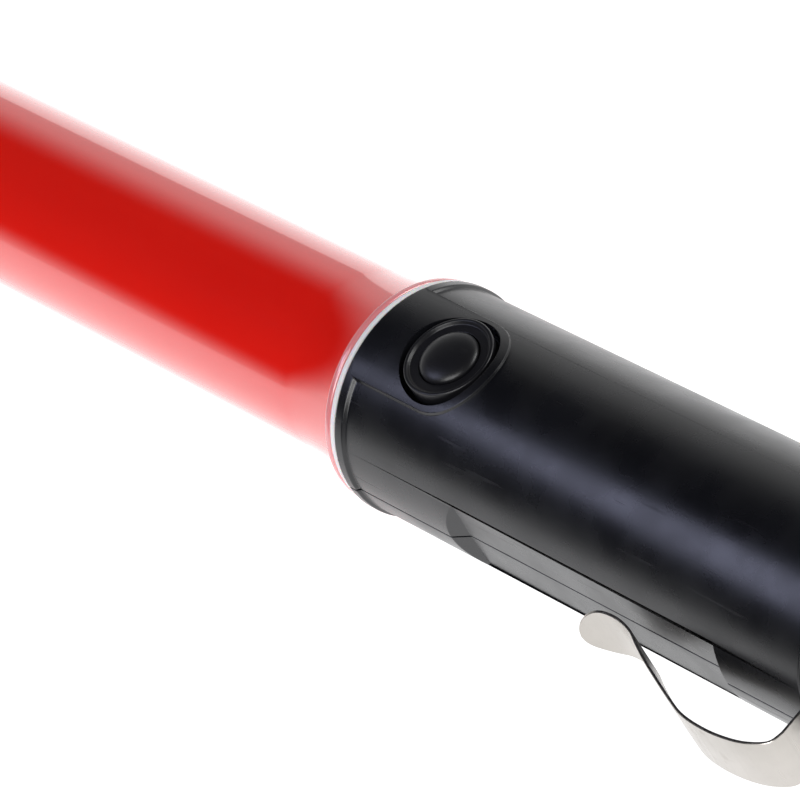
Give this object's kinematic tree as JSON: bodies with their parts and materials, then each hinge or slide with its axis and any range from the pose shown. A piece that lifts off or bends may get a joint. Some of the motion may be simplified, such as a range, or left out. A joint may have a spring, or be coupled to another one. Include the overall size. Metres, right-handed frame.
{
  "type": "traffic baton light",
  "caption": "Handheld traffic baton: long red light tube with a flared base on a round black battery handle with a push button, screw end cap and spring belt clip.",
  "frame": {"origin": "centre of the end cap's flat base face", "axes": "+X along the baton towards its base end, so the light tube points to -X; +Z through the push button; the belt clip is on the -Y side"},
  "size_m": [0.54, 0.0506, 0.0413],
  "materials": {
    "black_plastic": "semi-gloss moulded ABS",
    "red_tube": "polished translucent",
    "white_seal": "smooth",
    "button_rubber": "soft satin",
    "clip_steel": "fine brushed",
    "screw_steel": "plated",
    "diffuser": "frosted",
    "white_board": "solder mask",
    "white_plastic": "moulded",
    "green_board": "solder mask",
    "dark_plastic": "moulded",
    "resistor_body": "lacquered",
    "led_lens": "clear tinted",
    "red_wire": "PVC insulation",
    "black_wire": "PVC insulation",
    "sleeve_aluminium": "drawn",
    "contact_brass": "plated",
    "contact_steel": "nickel plated",
    "cell_jacket": "plain printed sleeve, no marks",
    "ring_rubber": "smooth"
  },
  "bodies": {
    "handle": {"handle_shell_top": "black_plastic", "handle_shell_bottom": "black_plastic", "shell_screw_1": "screw_steel", "shell_screw_2": "screw_steel", "light_tube": "red_tube", "front_seal": "white_seal", "tube_tip_cap": "red_tube", "diffuser_sleeve": "diffuser", "led_board": "white_board", "led_1": "led_lens", "led_2": "led_lens", "led_3": "led_lens", "led_4": "led_lens", "led_5": "led_lens", "led_6": "led_lens", "led_7": "led_lens", "led_8": "led_lens", "led_9": "led_lens", "board_holder_tip": "white_plastic", "board_holder_base": "white_plastic", "button_bezel": "button_rubber", "switch_body": "dark_plastic", "control_board": "green_board", "board_screw_1": "screw_steel", "board_screw_2": "screw_steel", "driver_chip": "dark_plastic", "ballast_resistor": "resistor_body", "tube_lead_red": "red_wire", "tube_lead_black": "black_wire", "battery_lead_red": "red_wire", "battery_lead_black": "black_wire", "battery_sleeve": "sleeve_aluminium", "contact_carrier": "dark_plastic", "positive_contact": "contact_brass", "battery_1": "cell_jacket", "battery_2": "cell_jacket", "cap_o_ring": "ring_rubber"},
    "button": {"button_cap": "button_rubber"},
    "plunger": {"switch_plunger": "white_plastic"},
    "cap_core": {"rear_contact": "contact_steel", "battery_spring": "contact_steel"},
    "end_cap": {"end_cap": "black_plastic"},
    "clip": {"pocket_clip": "clip_steel"}
  },
  "joints": [
    {"name": "button_press", "type": "slide", "parent": "handle", "child": "button", "axis": [0, 0, -1], "range_m": [0, 0.0008], "stiffness_N_per_m": 2500},
    {"name": "plunger_travel", "type": "slide", "parent": "handle", "child": "plunger", "axis": [0, 0, -1], "range_m": [0, 0.0008]},
    {"name": "cap_slide", "type": "slide", "parent": "handle", "child": "cap_core", "axis": [1, 0, 0], "range_m": [0, 0.0121]},
    {"name": "cap_turn", "type": "hinge", "parent": "cap_core", "child": "end_cap", "pos_m": [0, 0, 0], "axis": [1, 0, 0], "range_deg": [0, 1440]},
    {"name": "clip_flex", "type": "hinge", "parent": "handle", "child": "clip", "pos_m": [-0.0335, -0.0195, 0], "axis": [0, 0, 1], "range_deg": [-3, 8], "stiffness_Nm_per_rad": 0.6}
  ],
  "couplings": [
    {"joint": "plunger_travel", "follows": "button_press", "ratio": 1},
    {"joint": "cap_slide", "follows": "cap_turn", "m_per_rad": 0.00047746}
  ]
}
